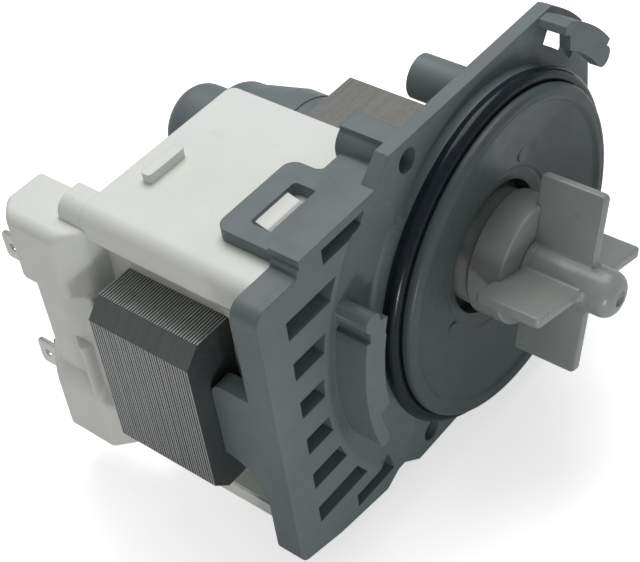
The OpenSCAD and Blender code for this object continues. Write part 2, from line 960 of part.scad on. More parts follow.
module terminal_block_plan() {
    polygon([[block_neck, -block_right], [block_neck, -block_left + block_front_chamfer],
        [block_front, -block_left],
        [block_rear + block_chamfer, -block_left], [block_rear, -block_left + block_front_chamfer],
        [block_rear, -block_right]]);
}

// A block that holds a terminal, its top edges rounded along X
module terminal_block(bottom, top, round_r) {
    intersection() {
        along_z(bottom, top) terminal_block_plan();
        along_x(block_rear - past, block_neck + past)
            polygon(rounded([[-block_left, bottom], [-block_right, bottom], [-block_right, top],
                [-block_left, top]], [0, 0, 0, round_r]));
    }
}

// The tongue that reaches back over the upper terminal block
module coil_tongue() {
    intersection() {
        along_x(tongue_rear, coil_rear + past)
            polygon(rounded([[-tongue_left, tongue_bottom], [-tongue_right, tongue_bottom],
                [-tongue_right, coil_top], [-tongue_left, coil_top]], [0, 0, 0, coil_corner_r]));
        along_z(tongue_bottom, coil_top)
            rounded_rectangle([tongue_rear, -tongue_left],
                [coil_rear + tongue_corner_r + past, -tongue_right], tongue_corner_r);
    }
}

// The catch between the two blocks, which rises towards the stack
module coil_catch() {
    along_z(lower_block_top - lower_block_round, catch_top)
        polygon([[catch_rear, -bridge_left], [catch_rear, -block_right],
            [catch_front, -block_right], [catch_front, -bridge_left], [catch_tip, -block_left]]);
}

module overmould_body() {
    intersection() {
        along_x(coil_rear, coil_front) coil_outline();
        along_z(-beyond, beyond)
            polygon(rounded([[coil_rear, -coil_left], [coil_front, -coil_left],
                [coil_front, -coil_right], [coil_rear, -coil_right]], [0, 0, 0, coil_rear_corner_r]));
    }
    coil_tongue();
    terminal_block(upper_block_bottom, upper_block_top, block_round);
    terminal_block(lower_block_bottom, lower_block_top, lower_block_round);
    box([bridge_rear, -bridge_left, lower_block_top - lower_block_round],
        [block_neck, -block_right, upper_block_bottom]);
    coil_catch();
    along_z(coil_top - past, coil_top + bar_h)
        rounded_rectangle([bar_rear, -bar_left], [bar_front, -bar_right], bar_corner_r);
}

// The wedge on the coil cover that snaps into the plate's loop
module latch_tab() {
    along_y(-latch_left, -latch_right)
        polygon([[latch_rear, coil_top - past], [latch_front, coil_top - past],
            [latch_front, coil_top + latch_low], [latch_bend, coil_top + latch_bend_h],
            [latch_rear, coil_top + latch_h]]);
}

// The flat outline of a terminal tab, as (X, Z), about its middle line
module tab_outline() {
    tip = block_rear - tab_out;
    polygon(rounded([[tab_root, -tab_w / 2], [tab_root, tab_w / 2], [tip, tab_w / 2],
        [tip, -tab_w / 2]], [0, 0, tab_round, tab_round]));
}

module terminal(side) {
    color(steel)
        translate([0, 0, side * tab_z])
            along_y(tab_y - tab_t / 2, tab_y + tab_t / 2)
                tab_outline();
}

module upper_terminal() {
    terminal(1);
}

module lower_terminal() {
    terminal(-1);
}

// The room that the coil cover leaves for the screw boss behind the plate
module boss_room(side) {
    reach = boss_r + boss_relief;
    corner = [-boss_reach - boss_relief, screw_y - reach, side * (boss_z - reach)];
    box([corner.x, corner.y, min(corner.z, side * beyond)],
        [past, 0, max(corner.z, side * beyond)]);
}

module coil_overmould() {
    color(white_plastic)
        difference() {
            union() {
                overmould_body();
                latch_tab();
            }
            for (side = [-1, 1]) {
                along_y(-bobbin_left, -bobbin_right)
                    round_leg(bobbin_wall + winding_t, side, coil_round);
                along_y(-yoke_right - past, 0)
                    leg_hole(side);
                boss_room(side);
                terminal(side);
            }
            box([coil_rear - past, coil_gap_inset - yoke_right, -coil_gap_half],
                [coil_rear + coil_gap_depth, past - coil_right, coil_gap_half]);
        }
}

mounting_plate();
rotor_can();
can_end_cap();
can_seal();
volute_cover();
cover_o_ring();
front_bearing_mount();
front_bush();
rear_bearing_mount();
rear_bush();
rotor_shaft();
rotor_magnet();
rotor_sleeve();
front_thrust_washer();
rear_thrust_washer();
drive_dog();
impeller();
impeller_damper();
coupling_cover();
core_laminations();
upper_bobbin();
lower_bobbin();
upper_winding();
lower_winding();
coil_overmould();
upper_terminal();
lower_terminal();
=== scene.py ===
import math
import random

import bmesh
import bpy
from mathutils import Matrix, Vector


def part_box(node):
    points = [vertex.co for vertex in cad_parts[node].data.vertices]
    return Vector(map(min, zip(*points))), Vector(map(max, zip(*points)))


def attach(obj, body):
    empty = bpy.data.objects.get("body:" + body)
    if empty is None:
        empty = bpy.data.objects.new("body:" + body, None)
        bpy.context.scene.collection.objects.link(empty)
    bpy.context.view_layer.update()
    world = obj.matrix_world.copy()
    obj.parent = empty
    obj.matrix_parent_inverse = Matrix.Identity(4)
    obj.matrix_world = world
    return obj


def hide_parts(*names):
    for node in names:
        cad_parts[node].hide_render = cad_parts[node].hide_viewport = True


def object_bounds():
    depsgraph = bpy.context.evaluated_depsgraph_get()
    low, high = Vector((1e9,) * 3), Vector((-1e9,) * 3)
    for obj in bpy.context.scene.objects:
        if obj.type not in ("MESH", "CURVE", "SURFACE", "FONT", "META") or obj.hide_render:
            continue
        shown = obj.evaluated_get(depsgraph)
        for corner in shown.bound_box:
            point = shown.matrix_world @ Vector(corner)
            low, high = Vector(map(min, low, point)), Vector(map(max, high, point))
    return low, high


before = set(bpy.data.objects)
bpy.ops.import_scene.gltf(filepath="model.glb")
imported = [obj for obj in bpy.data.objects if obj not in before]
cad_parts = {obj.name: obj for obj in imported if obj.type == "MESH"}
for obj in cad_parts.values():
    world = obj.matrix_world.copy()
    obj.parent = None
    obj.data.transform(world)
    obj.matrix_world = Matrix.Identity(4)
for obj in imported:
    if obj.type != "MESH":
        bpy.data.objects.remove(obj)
cad_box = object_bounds()

# Shapes are drawn in millimetres about the pump's axis, which is +X, and stored in metres.
MM = 0.001

# Sizes that several pieces share
COVER_R = 33.0
COVER_FRONT = 6.9
COVER_HOLE_R = 13.4
WELL_R = COVER_HOLE_R + 2
DISH_END_R = COVER_HOLE_R + 3.1
DISH_END_X = 3.4
HUB_R = 12.4
HUB_FRONT = 11.2
CORE_R = 4.5
BLADES = 4
BLADE_R = 18.4
BLADE_T = 2.0
BLADE_FRONT = 23.4
BLADE_LEAN = math.radians(16.7)
NOSE_TIP = 29.3
COIL_TOP = 31.0
COIL_LEFT = 57.2
COIL_REAR = -43.2
BLOCK_LEFT = 62.0
BLOCK_RIGHT = 49.5
BLOCK_REAR = -61.0
BLOCK_NECK = -42.0
BLOCK_CUT = 4.0
BLOCK_REAR_CUT = 3.5
BRIDGE_LEFT = 60.0

# The stack of sheets: its back, its top, the legs and the poles that hold the can
BACK = -64.87
TOP = 18.07
TOP_CUT = 3.4
BOTTOM_CUT = 3.2
LEG_BOTTOM = 10.6
LEG_END = 10.17
POLE_R = 15.6
POLE_LEFT = -15.8

# How far one shape stands in front of another where the two would share a plane
SKIN = 0.02

# How many steps a rounded corner takes
CORNER_STEPS = 6

# Colours, as linear values
SLATE = (0.130, 0.157, 0.162)
COVER_GREY = (0.068, 0.084, 0.086)
IMPELLER_GREY = (0.245, 0.266, 0.254)
RING_BLACK = (0.009, 0.013, 0.017)
WHITE = (0.74, 0.755, 0.715)
SHEET_STEEL = (0.38, 0.392, 0.385)
TIN = (0.62, 0.62, 0.60)
SHAFT_STEEL = (0.55, 0.56, 0.57)
BRONZE = (0.42, 0.23, 0.09)
COPPER = (0.55, 0.20, 0.07)
FERRITE = (0.035, 0.034, 0.036)


# Outlines

def on_circle(radius, angle):
    return Vector((radius * math.cos(angle), radius * math.sin(angle)))


def arc(centre, radius, start, end, steps):
    """Points along an arc, its two ends included."""
    return [centre + on_circle(radius, start + (end - start) * i / steps) for i in range(steps + 1)]


def rounded_corner(before, corner, after, radius):
    """Points that round a corner between its two neighbours."""
    to_before = (before - corner).normalized()
    to_after = (after - corner).normalized()
    half = to_before.angle(to_after) / 2
    centre = corner + (to_before + to_after).normalized() * radius / math.sin(half)
    start = corner + to_before * radius / math.tan(half) - centre
    end = corner + to_after * radius / math.tan(half) - centre
    turn = -start.angle_signed(end) / CORNER_STEPS
    return [centre + Matrix.Rotation(turn * i, 2) @ start for i in range(CORNER_STEPS + 1)]


def rounded_path(corners, closed=False):
    """A path through corners, each given by its two coordinates and its rounding. 0 keeps it sharp."""
    points = [Vector((a, b)) for a, b, _ in corners]
    count = len(points)
    path = []
    for i, (_, _, radius) in enumerate(corners):
        is_end = not closed and i in (0, count - 1)
        if radius == 0 or is_end:
            path.append(points[i])
        else:
            path += rounded_corner(points[i - 1], points[i], points[(i + 1) % count], radius)
    return path


# Shapes

def add_face(bm, points):
    """A flat face through points that are already three-dimensional."""
    return bm.faces.new([bm.verts.new(p) for p in points])


def turn_profile(bm, profile, steps, closed=False):
    """Spins a profile of (radius, X) points about the pump's axis."""
    verts = [bm.verts.new((x, radius, 0)) for radius, x in profile]
    pairs = list(zip(verts, verts[1:]))
    if closed:
        pairs.append((verts[-1], verts[0]))
    edges = [bm.edges.new(pair) for pair in pairs]
    bmesh.ops.spin(bm, geom=verts + edges, cent=(0, 0, 0), axis=(1, 0, 0), angle=math.tau,
                   steps=steps, use_merge=True, use_duplicate=False)
    bmesh.ops.remove_doubles(bm, verts=bm.verts, dist=1e-4)
    bmesh.ops.recalc_face_normals(bm, faces=bm.faces)


def push_out(bm, face, offset):
    """Turns a flat face into a prism."""
    result = bmesh.ops.extrude_face_region(bm, geom=[face])
    moved = [v for v in result["geom"] if isinstance(v, bmesh.types.BMVert)]
    bmesh.ops.translate(bm, vec=offset, verts=moved)
    return moved


def prism_along_x(outline, start, end):
    """A prism from an outline of (Y, Z) points."""
    bm = bmesh.new()
    face = add_face(bm, [(start, y, z) for y, z in outline])
    push_out(bm, face, (end - start, 0, 0))
    bmesh.ops.recalc_face_normals(bm, faces=bm.faces)
    return bm


def sharp_edges(bm, angle):
    limit = math.radians(angle)
    return [e for e in bm.edges if e.is_manifold and e.calc_face_angle(0) > limit]


def soften(bm, width, angle=30, segments=3, keep=None):
    """Rounds the edges that are sharper than an angle. keep chooses among them."""
    edges = [e for e in sharp_edges(bm, angle) if keep is None or keep(e)]
    bmesh.ops.bevel(bm, geom=edges, affect="EDGES", offset=width, offset_type="OFFSET",
                    segments=segments, profile=0.5, material=-1, clamp_overlap=False)


def join(bm, other):
    """Adds the shape of another bmesh to the first, and frees the other."""
    mesh = bpy.data.meshes.new("joined")
    other.to_mesh(mesh)
    other.free()
    bm.from_mesh(mesh)
    bpy.data.meshes.remove(mesh)


def copy_of_node(node):
    """A node's solid, its slivers merged and its flat faces made whole."""
    bm = bmesh.new()
    bm.from_mesh(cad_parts[node].data)
    bmesh.ops.transform(bm, matrix=Matrix.Scale(1 / MM, 4), verts=bm.verts)
    bmesh.ops.remove_doubles(bm, verts=bm.verts, dist=0.01)
    bmesh.ops.dissolve_limit(bm, angle_limit=math.radians(0.6), verts=bm.verts, edges=bm.edges)
    return bm


def cut_off(bm, point, outwards):
    """Cuts away what lies beyond a plane, and closes the cut."""
    geom = bm.verts[:] + bm.edges[:] + bm.faces[:]
    result = bmesh.ops.bisect_plane(bm, geom=geom, dist=1e-4, plane_co=point, plane_no=outwards,
                                    clear_outer=True)
    rim = [e for e in result["geom_cut"] if isinstance(e, bmesh.types.BMEdge)]
    bmesh.ops.triangle_fill(bm, use_beauty=True, use_dissolve=False, edges=rim, normal=outwards)
    bmesh.ops.recalc_face_normals(bm, faces=bm.faces)


def finish_piece(name, bm, material, body, nodes, smooth, even=False):
    """Makes a piece, in place of CAD nodes, from a shape in millimetres.

    Edges sharper than smooth, in degrees, stay sharp. even keeps flat faces flat beside rounds.
    """
    bmesh.ops.transform(bm, matrix=Matrix.Scale(MM, 4), verts=bm.verts)
    mesh = bpy.data.meshes.new(name)
    bm.to_mesh(mesh)
    bm.free()
    mesh.materials.append(material)
    mesh.shade_smooth()
    mesh.set_sharp_from_angle(angle=math.radians(smooth))
    piece = bpy.data.objects.new(name, mesh)
    bpy.context.scene.collection.objects.link(piece)
    if even:
        normals = piece.modifiers.new("flat faces stay flat", "WEIGHTED_NORMAL")
        normals.mode = "FACE_AREA"
        normals.weight = 80
        normals.keep_sharp = True
    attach(piece, body)
    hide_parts(*nodes)
    return piece


# Materials

class Finish:
    """A material and the few node recipes that this pump's finishes are made from."""

    def __init__(self, name, colour, roughness, metallic=0.0, gloss=0.5):
        self.material = bpy.data.materials.new(name)
        self.material.use_nodes = True
        self.nodes = self.material.node_tree.nodes
        self.links = self.material.node_tree.links
        self.shader = self.nodes["Principled BSDF"]
        self.shader.inputs["Base Color"].default_value = (*colour, 1)
        self.shader.inputs["Roughness"].default_value = roughness
        self.shader.inputs["Metallic"].default_value = metallic
        self.shader.inputs["Specular IOR Level"].default_value = gloss
        self.place = self.nodes.new("ShaderNodeTexCoord").outputs["Object"]
        self.colour = None
        self.height = None

    def soft_edges(self, radius):
        """Shades the sharp edges as if they were rounded to a radius in millimetres."""
        node = self.nodes.new("ShaderNodeBevel")
        node.samples = 6
        node.inputs["Radius"].default_value = radius * MM
        self.height = node.outputs["Normal"]

    def noise(self, scale, detail=3, stretch=(1, 1, 1), roughness=0.55):
        """Noise with features of about 1 / scale metres."""
        mapping = self.nodes.new("ShaderNodeMapping")
        mapping.inputs["Scale"].default_value = stretch
        self.links.new(self.place, mapping.inputs["Vector"])
        texture = self.nodes.new("ShaderNodeTexNoise")
        texture.inputs["Scale"].default_value = scale
        texture.inputs["Detail"].default_value = detail
        texture.inputs["Roughness"].default_value = roughness
        self.links.new(mapping.outputs[0], texture.inputs["Vector"])
        return texture.outputs["Fac"]

    def levels(self, value, low, high, to_low=0.0, to_high=1.0):
        """Stretches a value from one span to another, and clamps it."""
        node = self.nodes.new("ShaderNodeMapRange")
        self.links.new(value, node.inputs["Value"])
        for key, number in (("From Min", low), ("From Max", high), ("To Min", to_low), ("To Max", to_high)):
            node.inputs[key].default_value = number
        return node.outputs[0]

    def tint(self, amount, colour):
        """Lays a colour over the base colour, where amount is high."""
        node = self.nodes.new("ShaderNodeMix")
        node.data_type = "RGBA"
        below, above = (s for s in node.inputs if s.type == "RGBA")
        self.links.new(amount, node.inputs["Factor"])
        if self.colour:
            self.links.new(self.colour, below)
        else:
            below.default_value = self.shader.inputs["Base Color"].default_value
        above.default_value = (*colour, 1)
        self.colour = next(s for s in node.outputs if s.type == "RGBA")

    def vary_roughness(self, value, low, high):
        self.links.new(self.levels(value, 0.3, 0.7, low, high), self.shader.inputs["Roughness"])

    def bump(self, value, depth, strength=1.0):
        """Raises the surface by a value, to a depth in millimetres."""
        node = self.nodes.new("ShaderNodeBump")
        node.inputs["Strength"].default_value = strength
        node.inputs["Distance"].default_value = depth * MM
        self.links.new(value, node.inputs["Height"])
        if self.height:
            self.links.new(self.height, node.inputs["Normal"])
        self.height = node.outputs["Normal"]

    def done(self):
        if self.colour:
            self.links.new(self.colour, self.shader.inputs["Base Color"])
        if self.height:
            self.links.new(self.height, self.shader.inputs["Normal"])
        return self.material


def shifted(colour, factor):
    """A colour made lighter or darker."""
    return tuple(c * factor for c in colour)


def moulded_plastic(name, colour, roughness=(0.42, 0.58), grain=0.02, dust=0.5, edge=0.3, gloss=0.4):
    """Satin moulded plastic: slow cloudy tone, flow marks, specks of dust and a fine grain.

    edge is the radius in millimetres that its edges seem rounded to.
    """
    finish = Finish(name, colour, roughness[0], gloss=gloss)
    finish.soft_edges(edge)
    cloud = finish.noise(55, detail=4)
    finish.tint(finish.levels(cloud, 0.35, 0.7), shifted(colour, 1.13))
    flow = finish.noise(140, detail=5, stretch=(1, 0.25, 1))
    finish.tint(finish.levels(flow, 0.5, 0.8, 0.0, 0.5), shifted(colour, 0.84))
    specks = finish.levels(finish.noise(1500, detail=2), 0.71, 0.76, 0.0, dust)
    finish.tint(specks, shifted(colour, 1.6))
    finish.vary_roughness(finish.noise(300, detail=4), *roughness)
    finish.bump(finish.noise(4200, detail=3), grain)
    finish.bump(finish.noise(160, detail=3), 0.05, 0.5)
    return finish.done()


def white_cover_plastic():
    """White glass-filled plastic with faint grey patches and small dark specks."""
    finish = Finish("coil_cover_white", WHITE, 0.5)
    finish.soft_edges(0.3)
    finish.tint(finish.levels(finish.noise(48, detail=5), 0.45, 0.75, 0.0, 0.6), shifted(WHITE, 0.93))
    smudge = finish.noise(230, detail=6, roughness=0.7)
    finish.tint(finish.levels(smudge, 0.62, 0.78, 0.0, 0.35), (0.46, 0.45, 0.43))
    specks = finish.noise(900, detail=3, roughness=0.6)
    finish.tint(finish.levels(specks, 0.74, 0.79, 0.0, 0.6), (0.25, 0.24, 0.23))
    finish.vary_roughness(finish.noise(210, detail=4), 0.42, 0.62)
    finish.bump(finish.noise(3000, detail=3), 0.018)
    finish.bump(finish.noise(120, detail=3), 0.08, 0.5)
    return finish.done()


def ring_rubber():
    """Black rubber with a faint sheen."""
    finish = Finish("ring_rubber", RING_BLACK, 0.3, gloss=0.2)
    finish.tint(finish.levels(finish.noise(700, detail=4), 0.4, 0.8, 0.0, 0.6), shifted(RING_BLACK, 2.0))
    finish.vary_roughness(finish.noise(260, detail=3), 0.16, 0.24)
    finish.bump(finish.noise(2600, detail=3), 0.012)
    return finish.done()


def sheet_steel(name, colour, roughness, metallic, rust):
    """Punched sheet steel, its cut edges scored and streaked lighter as painted glints on the burrs, with a
    few brown spots.
    """
    finish = Finish(name, colour, roughness, metallic)
    by_sheet = finish.noise(60, detail=2, stretch=(28, 0.6, 0.6))
    finish.tint(finish.levels(by_sheet, 0.35, 0.65, 0.0, 0.5), shifted(colour, 0.78))
    scoring_and_burr_glints = finish.noise(1300, detail=4, stretch=(1, 0.25, 0.25))
    # Lighter streaks across each sheet's edge: the scoring, painted lighter as glints on the burrs.
    finish.tint(finish.levels(scoring_and_burr_glints, 0.55, 0.75, 0.0, 0.5), shifted(colour, 1.25))
    spots = finish.levels(finish.noise(260, detail=6, roughness=0.7), 0.68, 0.8, 0.0, rust)
    finish.tint(spots, (0.14, 0.10, 0.075))
    finish.vary_roughness(finish.noise(800, detail=3), roughness * 0.85, roughness * 1.25)
    finish.bump(scoring_and_burr_glints, 0.015)
    return finish.done()


def turned_metal(name, colour, roughness, stretch=(1, 1, 1)):
    """Plain metal with fine drawn or turned marks and slow tarnish."""
    finish = Finish(name, colour, roughness, metallic=1.0)
    finish.tint(finish.levels(finish.noise(200, detail=4), 0.4, 0.75, 0.0, 0.7), shifted(colour, 0.78))
    marks = finish.noise(1800, detail=3, stretch=stretch)
    finish.vary_roughness(marks, roughness * 0.8, roughness * 1.3)
    finish.bump(marks, 0.006)
    return finish.done()


def wound_wire():
    """Enamelled copper wire, its turns side by side along the leg, with painted shade in the grooves
    between them.
    """
    finish = Finish("copper_winding", COPPER, 0.3, metallic=0.9)
    wave = finish.nodes.new("ShaderNodeTexWave")
    wave.bands_direction = "Y"
    wave.inputs["Scale"].default_value = 900
    wave.inputs["Distortion"].default_value = 0.4
    finish.links.new(finish.place, wave.inputs["Vector"])
    # The dark bands are painted shade in the grooves between the turns.
    finish.tint(finish.levels(wave.outputs["Fac"], 0.0, 0.5, 0.6, 0.0), shifted(COPPER, 0.35))
    finish.vary_roughness(finish.noise(500), 0.22, 0.4)
    finish.bump(wave.outputs["Fac"], 0.1)
    return finish.done()


def pressed_ferrite():
    """Dark pressed ferrite, dull and finely grained."""
    finish = Finish("magnet_ferrite", FERRITE, 0.6)
    finish.tint(finish.levels(finish.noise(900, detail=5), 0.4, 0.7), shifted(FERRITE, 1.7))
    finish.vary_roughness(finish.noise(400), 0.5, 0.75)
    finish.bump(finish.noise(2200, detail=4), 0.02)
    return finish.done()


plate_plastic = moulded_plastic("plate_plastic", SLATE)
cover_plastic = moulded_plastic("cover_plastic", COVER_GREY, roughness=(0.3, 0.42), grain=0.01,
                                dust=0.25, edge=0.15, gloss=0.22)
impeller_plastic = moulded_plastic("impeller_plastic", IMPELLER_GREY, roughness=(0.26, 0.38), grain=0.01,
                                   dust=0.2, edge=0.2, gloss=0.6)
can_plastic = moulded_plastic("can_plastic", SLATE, roughness=(0.4, 0.55))
coil_plastic = white_cover_plastic()
rubber = ring_rubber()
sheet_edges = sheet_steel("sheet_edges", SHEET_STEEL, 0.34, 0.8, rust=0.15)
cut_corner = sheet_steel("cut_corner", (0.13, 0.145, 0.143), 0.5, 0.3, rust=0.1)
pole_steel = sheet_steel("pole_steel", (0.17, 0.168, 0.158), 0.5, 0.5, rust=0.5)
# The dark steel of the faces across the axis: partly the sheets' duller flat faces, partly painted shade in
# the gaps between the sheets.
flat_face_and_gap_shade = sheet_steel("flat_face_and_gap_shade", (0.052, 0.062, 0.062), 0.5, 0.3, rust=0.1)
terminal_tin = turned_metal("terminal_tin", TIN, 0.28, stretch=(0.1, 1, 1))
shaft_steel = turned_metal("shaft_steel", SHAFT_STEEL, 0.2)
bush_bronze = turned_metal("bush_bronze", BRONZE, 0.35)
winding_copper = wound_wire()
magnet_ferrite = pressed_ferrite()


# The impeller

def blade_turn(index):
    """The turn about the axis that carries a blade standing straight up to its own place."""
    return Matrix.Rotation(index * math.tau / BLADES - BLADE_LEAN, 4, "X")


def core_outline():
    """The core's cross-section in (Y, Z), with a hollow curve on each side of every blade.

    The curves end just inside the blades' faces, so the two shapes never lie in one plane.
    """
    fillet = 1.3
    across = BLADE_T / 2 - SKIN + fillet
    along = math.sqrt((CORE_R + fillet) ** 2 - across ** 2)
    lean = math.atan2(across, along)
    one_side = arc(Vector((along, -across)), fillet, math.pi - lean, math.pi / 2, 7)
    other_side = arc(Vector((along, across)), fillet, -math.pi / 2, lean - math.pi, 7)
    round_core = arc(Vector((0, 0)), CORE_R, lean, math.tau / BLADES - lean, 6)[1:-1]
    sector = one_side + other_side + round_core
    outline = []
    for index in range(BLADES):
        turn = Matrix.Rotation(math.pi / 2 - BLADE_LEAN + index * math.tau / BLADES, 2)
        outline += [turn @ p for p in sector]
    return outline


def blade_shape():
    """One blade standing straight up, its front edge running down into the nose in a curve."""
    inside = CORE_R - 1.2
    rear = HUB_FRONT - 1
    foot_x = BLADE_FRONT + 2.3
    foot_r = CORE_R - 0.25
    outline = rounded_path([
        (rear, inside, 0), (rear, BLADE_R, 0.8), (BLADE_FRONT, BLADE_R, 1.0), (BLADE_FRONT, foot_r, 2.0),
        (foot_x, foot_r - 0.1, 0), (foot_x, inside, 0)], closed=True)
    bm = bmesh.new()
    face = add_face(bm, [(x, -BLADE_T / 2, r) for x, r in outline])
    push_out(bm, face, (0, BLADE_T, 0))
    bmesh.ops.recalc_face_normals(bm, faces=bm.faces)
    soften(bm, 0.32, angle=40)
    return bm


def hub_profile():
    """The hub in (radius, X), hollow at the back, from its bore over its front to the core."""
    bore_r, bore_end = 2.55, 18.9
    cup_r, cup_front = HUB_R - 2, HUB_FRONT - 2
    rear, mouth_front, step_x = 0.4, 1.9, 4.6
    seat_r = HUB_R - 0.8
    mouth_r = seat_r - 0.8
    return rounded_path([
        (0, bore_end, 0), (bore_r, bore_end, 0), (bore_r, cup_front, 0), (cup_r, cup_front, 0),
        (cup_r, mouth_front, 0), (mouth_r, mouth_front, 0), (mouth_r, rear, 0), (seat_r, rear, 0.3),
        (seat_r, step_x, 0.2), (HUB_R, step_x, 0.25), (HUB_R, HUB_FRONT, 0.45),
        (CORE_R - 0.3, HUB_FRONT, 0)])


def nose_profile():
    """The core in (radius, X): its fillet on the hub, its rounded end, and the dimple at its tip."""
    core_r, root = CORE_R + SKIN, HUB_FRONT - SKIN
    tip = NOSE_TIP - 0.03
    fillet, end_round = 1.0, 2.6
    lip_r, dimple_r, dimple_x = 1.55, 1.0, NOSE_TIP - 0.75
    middle_r, middle_x = 0.5, NOSE_TIP - 0.5
    return rounded_path([
        (core_r + 1.4, root, 0), (core_r, root, fillet), (core_r, tip, end_round),
        (lip_r + 0.3, tip, 0.05), (lip_r, NOSE_TIP, 0.1), (lip_r - 0.1, NOSE_TIP - 0.35, 0.1),
        (dimple_r, dimple_x, 0.15), (middle_r, middle_x, 0.1), (0, middle_x, 0)])


def make_impeller():
    bm = prism_along_x(core_outline(), HUB_FRONT - 0.5, BLADE_FRONT - 0.1)
    for index in range(BLADES):
        blade = blade_shape()
        bmesh.ops.transform(blade, matrix=blade_turn(index), verts=blade.verts)
        join(bm, blade)
    for profile in (hub_profile(), nose_profile()):
        turned = bmesh.new()
        turn_profile(turned, profile, steps=112)
        join(bm, turned)
    join(bm, coupling_stop())
    finish_piece("impeller_body", bm, impeller_plastic, "impeller_wheel",
                 nodes=["impeller"], smooth=38)


def coupling_stop():
    """The stop inside the hub that the dog on the shaft swings against."""
    half = math.radians(30)
    inner, outer = 6.6, HUB_R - 1.5
    rear, front = 2.3, HUB_FRONT - 1.9
    outline = arc(Vector((0, 0)), inner, math.pi / 2 - half, math.pi / 2 + half, 10)
    outline += arc(Vector((0, 0)), outer, math.pi / 2 + half, math.pi / 2 - half, 14)
    return prism_along_x(outline, rear, front)


# The cover and its ring

def cover_profile():
    """The cover in (radius, X), closed: the back, the ring's seat, the rim and the dished face."""
    well_floor, well_back = -1.2, -3.0
    neck_in, neck_out, neck_lip_r = 6.9, 8.7, 5.8
    neck_end, lip_end = -8.7, -9.5
    inner_rib, outer_rib = (25.0, 26.4), (28.6, 29.7)
    rib_end, groove_floor = 0.3, 1.8
    seat_r, seat_front = COVER_R - 0.9, 5.0
    line_r, line_depth = COVER_R - 1.6, 0.07
    back = [
        (COVER_HOLE_R, well_floor, 0), (neck_in, well_floor, 0), (neck_in, neck_end, 0),
        (neck_lip_r, neck_end, 0), (neck_lip_r, lip_end, 0), (neck_out, lip_end, 0.3),
        (neck_out, well_back, 0.5), (WELL_R, well_back, 0.4), (WELL_R, 1.1, 0.5),
        (inner_rib[0], 2.8, 0.3), (inner_rib[0], rib_end, 0.2), (inner_rib[1], rib_end, 0.1),
        (inner_rib[1], groove_floor, 0.1), (outer_rib[0], groove_floor, 0.1),
        (outer_rib[0], rib_end, 0.1), (outer_rib[1], rib_end, 0.1), (outer_rib[1], groove_floor, 0)]
    rim = [
        (seat_r, groove_floor, 0.1), (seat_r, seat_front, 0.1), (COVER_R, seat_front, 0.3),
        (COVER_R, COVER_FRONT, 1.1), (line_r + 0.1, COVER_FRONT, 0.1),
        (line_r, COVER_FRONT - line_depth, 0.05), (line_r - 0.1, COVER_FRONT, 0.1),
        (COVER_R - 2.6, COVER_FRONT, 1.0)]
    dish = [
        (COVER_R - 3.4, COVER_FRONT - 0.85, 1.2), (DISH_END_R, DISH_END_X, 0.5),
        (DISH_END_R - 0.5, 3.1, 0.35), (DISH_END_R - 0.9, 3.12, 0.3), (COVER_HOLE_R, 2.6, 0.3)]
    return rounded_path(back + rim + dish, closed=True)


def face_pad(y, z):
    """A round ejector mark: a low disc on the dished face, tilted less than the face is."""
    radius, height, buried = 2.1, 0.16, 0.44
    face_rise, tilt = 0.2, 0.09
    away = math.hypot(y, z)
    thick = height + buried
    bm = bmesh.new()
    bmesh.ops.create_cone(bm, cap_ends=True, segments=40, radius1=radius, radius2=radius - 0.15,
                          depth=thick)
    bmesh.ops.transform(bm, matrix=Matrix.Translation((0, 0, height - thick / 2)), verts=bm.verts)
    normal = Vector((1, -tilt * y / away, -tilt * z / away)).normalized()
    middle = Vector((DISH_END_X + face_rise * (away - DISH_END_R), y, z))
    turn = normal.to_track_quat("Z", "Y").to_matrix().to_4x4()
    bmesh.ops.transform(bm, matrix=Matrix.Translation(middle) @ turn, verts=bm.verts)
    return bm


def make_cover():
    pad_places = ((8.6, 17.3), (-16.5, -8.1))
    bm = bmesh.new()
    turn_profile(bm, cover_profile(), steps=180, closed=True)
    for y, z in pad_places:
        join(bm, face_pad(y, z))
    finish_piece("cover_body", bm, cover_plastic, "housing", nodes=["volute_cover"],
                 smooth=32)


def make_sealing_ring():
    section_r, ring_r, ring_x = 1.6, 33.75, 3.4
    profile = arc(Vector((ring_r, ring_x)), section_r, 0, math.tau, 28)[:-1]
    bm = bmesh.new()
    turn_profile(bm, profile, steps=180, closed=True)
    finish_piece("sealing_ring", bm, rubber, "housing", nodes=["cover_o_ring"], smooth=60)


# The plate, the can and its cap

def make_moulding(name, node, material):
    """A slate-grey piece of the housing that keeps its CAD node's shape."""
    finish_piece(name, copy_of_node(node), material, "housing", nodes=[node],
                 smooth=32, even=True)


# The motor

def block_shape(bottom, top, round_r, edge):
    """One terminal block: a bar along X, its outer top edge rounded and its outer corners cut."""
    left, bottom, top = -BLOCK_LEFT - SKIN, bottom - SKIN, top + SKIN
    outline = rounded_path([
        (left, bottom, 0), (-BLOCK_RIGHT, bottom, 0), (-BLOCK_RIGHT, top, 0), (left, top, round_r)],
        closed=True)
    bm = prism_along_x(outline, BLOCK_REAR, BLOCK_NECK - SKIN)
    cut_off(bm, (BLOCK_NECK - BLOCK_CUT, -BLOCK_LEFT, 0), (1, -1, 0))
    cut_off(bm, (BLOCK_REAR + BLOCK_REAR_CUT, -BLOCK_LEFT, 0), (-BLOCK_CUT, -BLOCK_REAR_CUT, 0))
    soften(bm, edge, segments=4)
    return bm


def bridge_shape():
    """The wall that joins the two blocks. Its ends lie inside them."""
    left, right = -BRIDGE_LEFT, -BLOCK_RIGHT - SKIN
    bottom, top = -16, 13
    outline = [(left, bottom), (right, bottom), (right, top), (left, top)]
    bm = prism_along_x(outline, BLOCK_REAR + BLOCK_REAR_CUT, BLOCK_NECK - 2 * SKIN)
    soften(bm, 0.7)
    return bm


